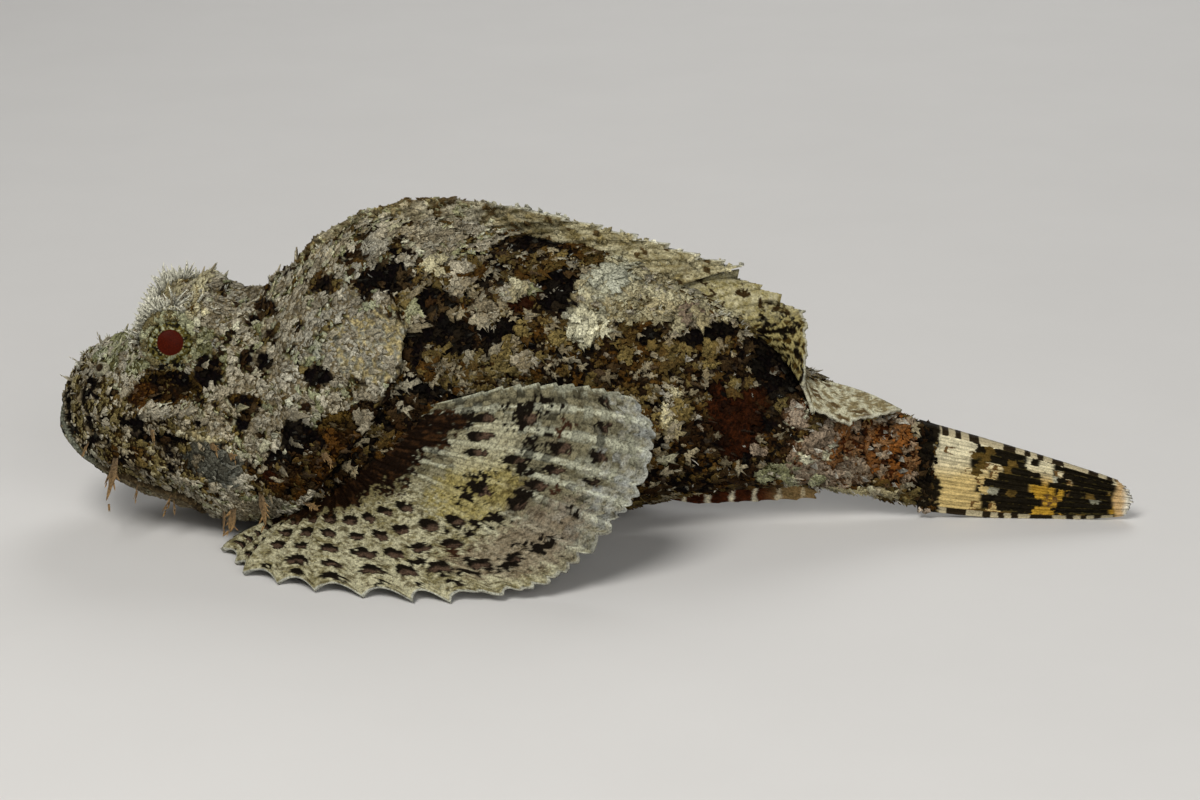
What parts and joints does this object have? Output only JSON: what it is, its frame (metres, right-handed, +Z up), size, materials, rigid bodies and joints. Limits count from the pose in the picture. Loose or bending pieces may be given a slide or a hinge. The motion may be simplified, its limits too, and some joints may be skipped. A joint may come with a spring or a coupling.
{
  "type": "spotted scorpionfish",
  "caption": "Life-size still scorpionfish resting on its belly, with its spiny back fin folded, its pectoral fins spread on the floor and its tail fin closed.",
  "frame": {"origin": "on the floor, below the middle of the fish's box", "axes": "+X from snout to tail, +Y towards the fish's right side, +Z up from the floor it rests on"},
  "size_m": [0.2681, 0.1248, 0.0827],
  "materials": {
    "head_skin": "pale grey and cream flakes with thin light edges over brown and black, rough",
    "jaw_skin": "olive yellow and grey flakes on black, with smooth grey lips",
    "body_skin": "small scales mottled in rust, dark brown, cream and lilac grey",
    "eye": "flat red-brown pupil in an iris of pale green and black patches, glossy",
    "spotted_fin": "cream and yellow-green jointed rays with rows of brown spots between them",
    "back_fin": "olive, cream and black mottling on spines and thin skin",
    "tail_fin": "cream and yellow-white bands between dark brown ones, on fine rays",
    "anal_fin": "red-brown with pale dashes"
  },
  "bodies": {
    "root": {"head": "head_skin", "lower_jaw": "jaw_skin", "torso": "body_skin", "tail_stem": "body_skin", "eye_left": "eye", "eye_right": "eye", "dorsal_fin_spiny": "back_fin", "dorsal_fin_soft": "back_fin", "anal_fin": "anal_fin", "caudal_fin": "tail_fin", "pectoral_fin_left": "spotted_fin", "pectoral_fin_right": "spotted_fin", "pelvic_fin_left": "spotted_fin", "pelvic_fin_right": "spotted_fin"}
  },
  "joints": []
}
